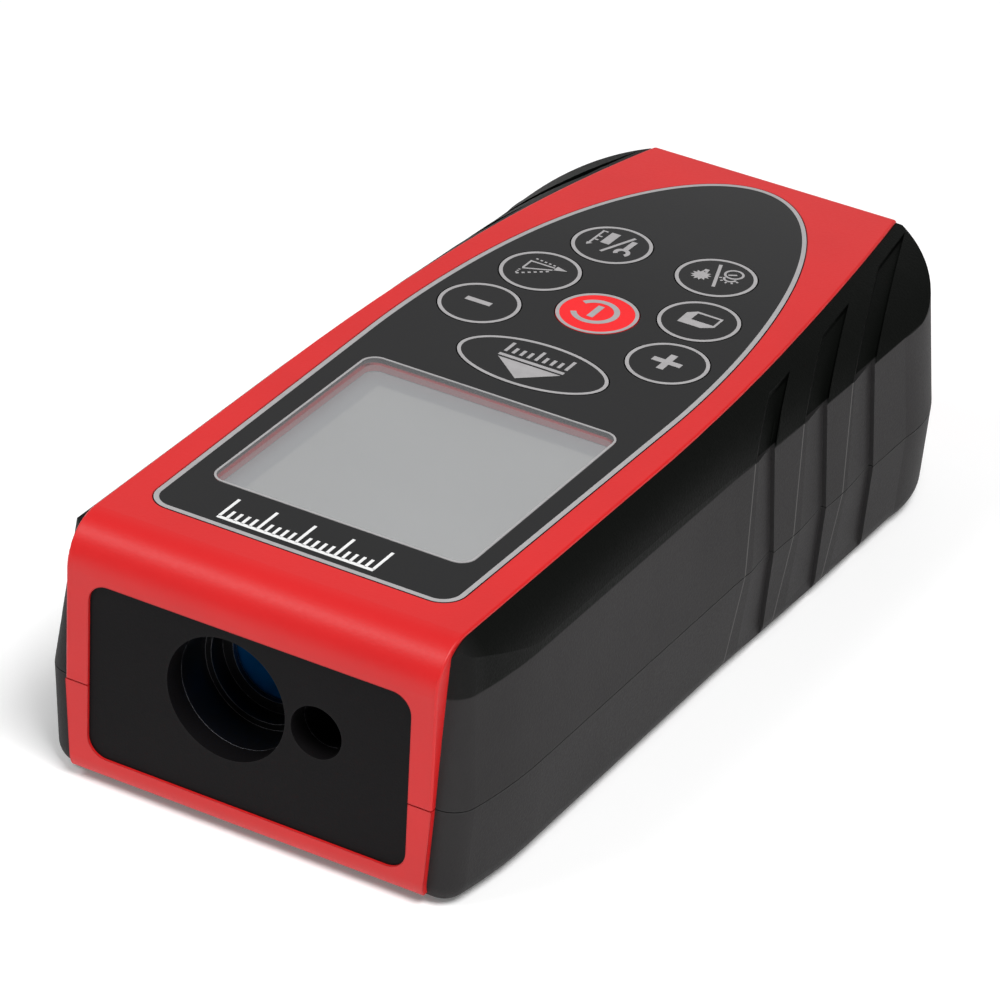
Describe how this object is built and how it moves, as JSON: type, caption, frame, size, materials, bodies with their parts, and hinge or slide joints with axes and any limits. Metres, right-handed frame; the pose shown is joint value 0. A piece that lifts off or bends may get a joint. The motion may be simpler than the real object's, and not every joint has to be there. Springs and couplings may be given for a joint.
{
  "type": "laser distance meter",
  "caption": "Hand-held laser distance meter: red and black case with soft ribbed sides, recessed optics at one end, display, membrane-style keys and a hinged battery door",
  "frame": {"origin": "centre of the bottom, on the surface that the meter rests on", "axes": "-Y towards the laser end, +Y to the rear, +Z out of the display; the meter stands on its back"},
  "size_m": [0.059, 0.1216, 0.0328],
  "materials": {
    "red_case": "semi-matt moulded red, fine texture",
    "grip_rubber": "matt black soft grip",
    "lower_case": "matt black, fine texture",
    "gasket_rubber": "matt black",
    "steel": "plain",
    "panel_black": "matt black",
    "barrel_black": "light-trap black",
    "coated_glass": "blue coated",
    "clear_glass": "polished",
    "brass": "plain",
    "cast_alloy": "cast",
    "circuit_board": "green solder mask",
    "chip_black": "moulded",
    "label_film": "satin dark film",
    "clear_window": "clear hard-coated",
    "display_grey": "grey display glass",
    "backlight_white": "white light guide",
    "frame_plastic": "black",
    "cell_wrap": "printed sleeve",
    "foam": "closed-cell foam",
    "key_dark": "satin dark film",
    "key_red": "satin red film"
  },
  "bodies": {
    "case": {"top_shell": "red_case", "front_lower_trim": "red_case", "grip_left": "grip_rubber", "grip_right": "grip_rubber", "bottom_shell": "lower_case", "case_gasket": "gasket_rubber", "case_screws": "steel", "front_panel": "panel_black", "receiver_barrel": "barrel_black", "lens_retaining_ring": "barrel_black", "receiver_lens": "coated_glass", "laser_tube": "barrel_black", "collimator_lens": "clear_glass", "laser_diode": "brass", "optics_chassis": "cast_alloy", "detector_board": "circuit_board", "photodiode": "chip_black", "keypad_overlay": "label_film", "display_window": "clear_window", "lcd_glass": "display_grey", "backlight": "backlight_white", "lcd_frame": "frame_plastic", "lcd_connector": "gasket_rubber", "main_board": "circuit_board", "board_screws": "steel", "board_chips": "chip_black", "buzzer": "chip_black", "dome_switches": "steel", "battery_1": "cell_wrap", "battery_2": "cell_wrap", "battery_contacts": "steel", "battery_springs": "steel"},
    "door": {"battery_door": "lower_case", "battery_pad": "foam"},
    "key_minus": {"key_minus": "key_dark"},
    "key_plus": {"key_plus": "key_dark"},
    "key_indirect": {"key_indirect": "key_dark"},
    "key_storage": {"key_storage": "key_dark"},
    "key_units": {"key_units": "key_dark"},
    "key_light": {"key_light": "key_dark"},
    "key_power": {"key_power": "key_red"},
    "key_measure": {"key_measure": "key_dark"}
  },
  "joints": [
    {"name": "key_minus_press", "type": "slide", "parent": "case", "child": "key_minus", "axis": [0, 0, -1], "range_m": [0, 0.0004], "stiffness_N_per_m": 3000},
    {"name": "key_plus_press", "type": "slide", "parent": "case", "child": "key_plus", "axis": [0, 0, -1], "range_m": [0, 0.0004], "stiffness_N_per_m": 3000},
    {"name": "key_indirect_press", "type": "slide", "parent": "case", "child": "key_indirect", "axis": [0, 0, -1], "range_m": [0, 0.0004], "stiffness_N_per_m": 3000},
    {"name": "key_storage_press", "type": "slide", "parent": "case", "child": "key_storage", "axis": [0, 0, -1], "range_m": [0, 0.0004], "stiffness_N_per_m": 3000},
    {"name": "key_units_press", "type": "slide", "parent": "case", "child": "key_units", "axis": [0, 0, -1], "range_m": [0, 0.0004], "stiffness_N_per_m": 3000},
    {"name": "key_light_press", "type": "slide", "parent": "case", "child": "key_light", "axis": [0, 0, -1], "range_m": [0, 0.0004], "stiffness_N_per_m": 3000},
    {"name": "key_power_press", "type": "slide", "parent": "case", "child": "key_power", "axis": [0, 0, -1], "range_m": [0, 0.0004], "stiffness_N_per_m": 3000},
    {"name": "key_measure_press", "type": "slide", "parent": "case", "child": "key_measure", "axis": [0, 0, -1], "range_m": [0, 0.0004], "stiffness_N_per_m": 3000},
    {"name": "door_hinge", "type": "hinge", "parent": "case", "child": "door", "pos_m": [0, 0.0033, 0.0016], "axis": [-1, 0, 0], "range_deg": [0, 75]}
  ]
}
